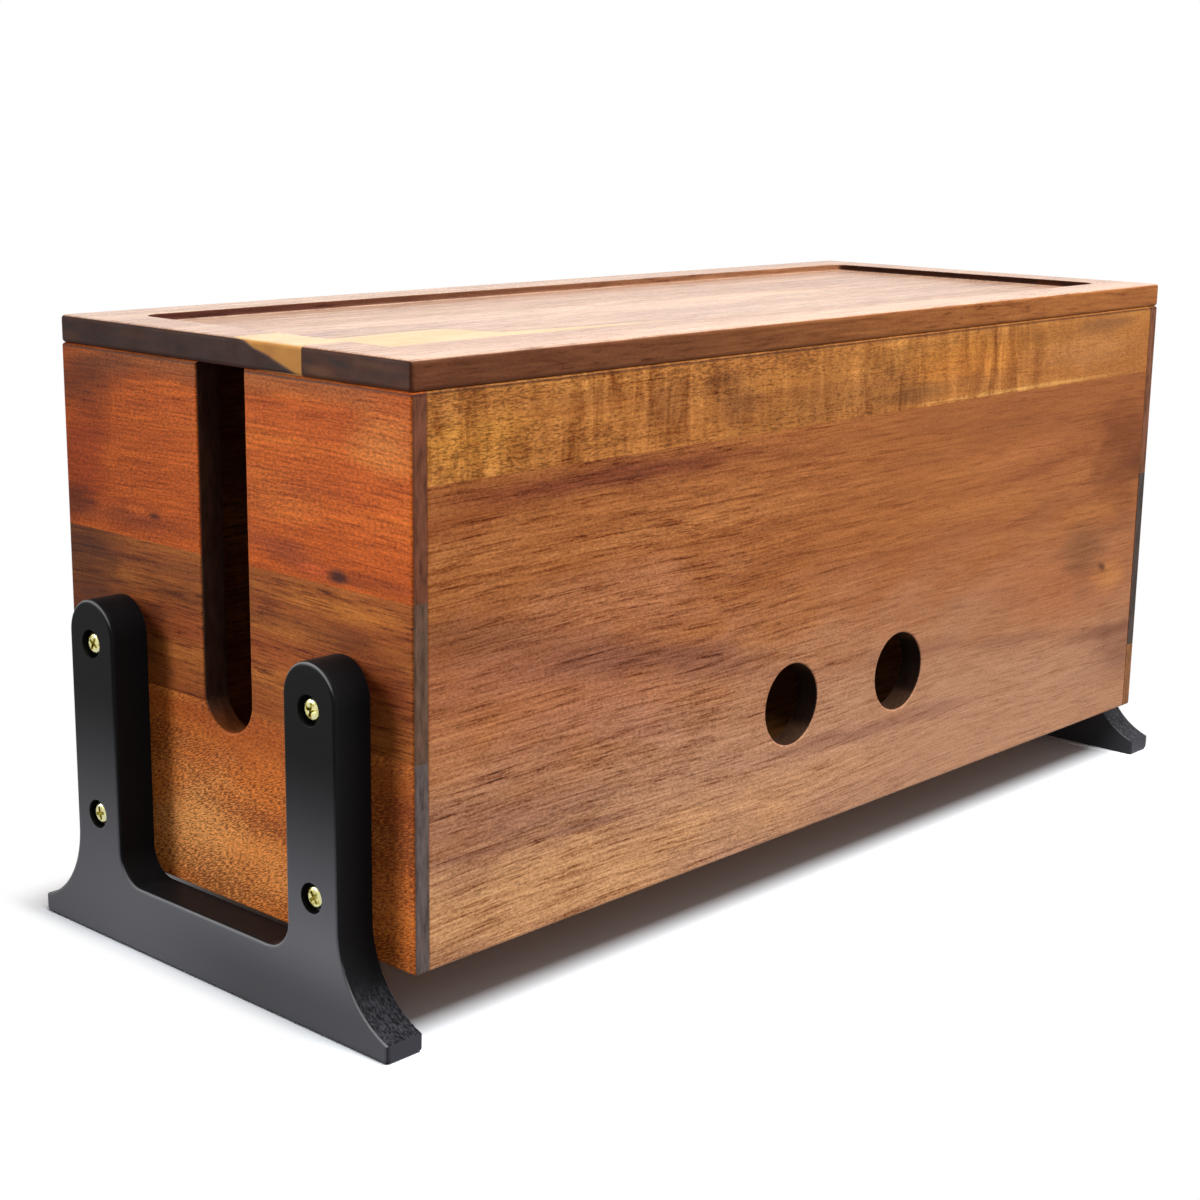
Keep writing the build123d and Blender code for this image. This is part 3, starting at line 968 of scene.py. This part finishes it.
ZINC_HUES = ((420.0, 420.0, 420.0), 2.0)
ZINC_HUE_CONTRAST = 1.6
ZINC_STOPS = [
    (0.25, srgb(150, 132, 52)),
    (0.50, srgb(222, 214, 150)),
    (0.75, srgb(200, 208, 170)),
    (0.95, srgb(222, 178, 160)),
]
ZINC_SCRATCHES = ((2200.0, 2200.0, 2200.0), 2.0)
ZINC_ROUGHNESS = 0.24
ZINC_ROUGHNESS_SPREAD = 0.3
ZINC_BUMP_STRENGTH = 0.35
ZINC_BUMP_DISTANCE = 0.0001


def zinc():
    """Yellow zinc plating with a faint shift of hue."""
    material = bpy.data.materials.new("zinc")
    tree = Tree(material)
    place = tree.add("ShaderNodeTexCoord").outputs["Object"]
    hue = tree.scale_add(tree.noise(place, *ZINC_HUES), ZINC_HUE_CONTRAST, 0.5)
    scratch = tree.noise(place, *ZINC_SCRATCHES)
    tree.finish({
        "Base Color": tree.ramp(hue, ZINC_STOPS),
        "Metallic": 1.0,
        "Roughness": tree.scale_add(scratch, ZINC_ROUGHNESS_SPREAD, ZINC_ROUGHNESS),
        "Normal": tree.bump(scratch, ZINC_BUMP_STRENGTH, ZINC_BUMP_DISTANCE),
    })
    return material


# ---- Surroundings ----


def seen_directly(tree):
    """1 for camera, glossy and transmission rays, and 0 for the light that matt surfaces get."""
    path = tree.add("ShaderNodeLightPath").outputs
    seen = tree.math("MAXIMUM", path["Is Camera Ray"], path["Is Glossy Ray"])
    return tree.math("MAXIMUM", seen, path["Is Transmission Ray"])


def make_world():
    """White surroundings that give matt surfaces only a plain level of light."""
    world = bpy.data.worlds.new("surroundings")
    bpy.context.scene.world = world
    tree = Tree(world)
    ambient = tree.add("ShaderNodeBackground", {"Color": WHITE, "Strength": AMBIENT})
    white = tree.add("ShaderNodeBackground", {"Color": WHITE, "Strength": 1.0})
    both = tree.add(
        "ShaderNodeMixShader",
        {0: seen_directly(tree), 1: ambient.outputs[0], 2: white.outputs[0]},
    )
    tree.add("ShaderNodeOutputWorld", {"Surface": both.outputs[0]})


def floor_material():
    """White paper that keeps the shadow near the object and fades to plain white around it."""
    material = bpy.data.materials.new("floor")
    tree = Tree(material)
    x, y, _ = tree.separate(tree.add("ShaderNodeTexCoord").outputs["Object"])
    _, (half_length, half_width, _) = cad_box
    past_end = tree.math("SUBTRACT", tree.absolute(x), half_length)
    past_side = tree.math("SUBTRACT", tree.absolute(y), half_width)
    beyond_ends = tree.math("MAXIMUM", past_end, 0.0)
    beyond_sides = tree.math("MAXIMUM", past_side, 0.0)
    away = tree.combine(tree.product(beyond_ends, FADE_ASIDE), beyond_sides, 0.0)
    fade = tree.band(tree.length(away), *FLOOR_FADE)

    paper = tree.add("ShaderNodeBsdfDiffuse", {"Color": FLOOR_SEEN})
    white = tree.add("ShaderNodeEmission", {"Color": WHITE, "Strength": 1.0})
    faded = tree.add("ShaderNodeMixShader", {0: fade, 1: paper.outputs[0], 2: white.outputs[0]})
    plain = tree.add("ShaderNodeBsdfDiffuse", {"Color": FLOOR_BOUNCE})
    both = tree.add(
        "ShaderNodeMixShader",
        {0: seen_directly(tree), 1: plain.outputs[0], 2: faded.outputs[0]},
    )
    tree.add("ShaderNodeOutputMaterial", {"Surface": both.outputs[0]})
    return material


def make_floor():
    half = FLOOR_SIZE / 2
    corners = [(-half, -half, 0), (half, -half, 0), (half, half, 0), (-half, half, 0)]
    mesh = bpy.data.meshes.new("floor")
    mesh.from_pydata(corners, [], [(0, 1, 2, 3)])
    mesh.materials.append(floor_material())
    floor = bpy.data.objects.new("floor", mesh)
    bpy.context.scene.collection.objects.link(floor)
    return floor


def add_lamp(light, place, target):
    """Put a light at a place, turned towards a target."""
    lamp = bpy.data.objects.new(light.name, light)
    lamp.location = place
    direction = Vector(target) - Vector(place)
    lamp.rotation_euler = direction.to_track_quat("-Z", "Y").to_euler()
    bpy.context.scene.collection.objects.link(lamp)
    return lamp


def softbox(name, place, target, size, power):
    """A square area light."""
    light = bpy.data.lights.new(name, "AREA")
    light.size = size
    light.energy = power
    return add_lamp(light, place, target)


def soft_spot(name, place, target, radius, cone, power):
    """A round lamp whose light fades out evenly from the middle of its cone."""
    light = bpy.data.lights.new(name, "SPOT")
    light.shadow_soft_size = radius
    light.spot_size = radians(cone)
    light.spot_blend = 1.0
    light.energy = power
    return add_lamp(light, place, target)


def keep_off(lamps, floor):
    """Flag the floor off from these lamps, so that only the key light shapes its shadow."""
    flagged = bpy.data.collections.new("flagged_off")
    flagged.objects.link(floor)
    flagged.collection_objects[0].light_linking.link_state = "EXCLUDE"
    for lamp in lamps:
        lamp.light_linking.receiver_collection = flagged


def light_object(floor):
    """A key light from above, and fills that leave the floor alone."""
    softbox("key", **KEY_LAMP)
    boxes = [softbox("front", **FRONT_LAMP), softbox("behind", **BACK_LAMP)]
    for box in boxes:
        box.visible_glossy = False  # their hard reflections would lie across the lid
    keep_off([*boxes, soft_spot("left", **LEFT_LAMP)], floor)


def make_camera():
    camera = bpy.data.cameras.new("camera")
    camera.sensor_width = SENSOR
    camera.lens = CAMERA_LENS
    camera.clip_start = CLIP_START
    holder = bpy.data.objects.new("camera", camera)
    turn = Matrix.Rotation(radians(CAMERA_AZIMUTH), 4, "Z")
    tilt = Matrix.Rotation(radians(90 - CAMERA_ELEVATION), 4, "X")
    roll = Matrix.Rotation(radians(-CAMERA_ROLL), 4, "Z")
    holder.matrix_world = Matrix.Translation(CAMERA_PLACE) @ turn @ tilt @ roll
    bpy.context.scene.collection.objects.link(holder)
    bpy.context.scene.camera = holder


# ---- Putting it together ----

STANDS = ("left_stand", "right_stand")
SCREWS = ("front_rail_screws", "back_rail_screws", "left_stand_screws", "right_stand_screws")


def dress(names, material):
    """Give pieces of the frame their material."""
    for name in names:
        mesh = nodes[name].data
        mesh.materials.clear()
        mesh.materials.append(material)


for board_name, board_finish in BOARDS.items():
    dress([board_name], wood(board_name, **board_finish))
dress(STANDS, black_paint())
dress(SCREWS, zinc())

make_world()
light_object(make_floor())
make_camera()

scene = bpy.context.scene
scene.view_settings.view_transform = "Standard"
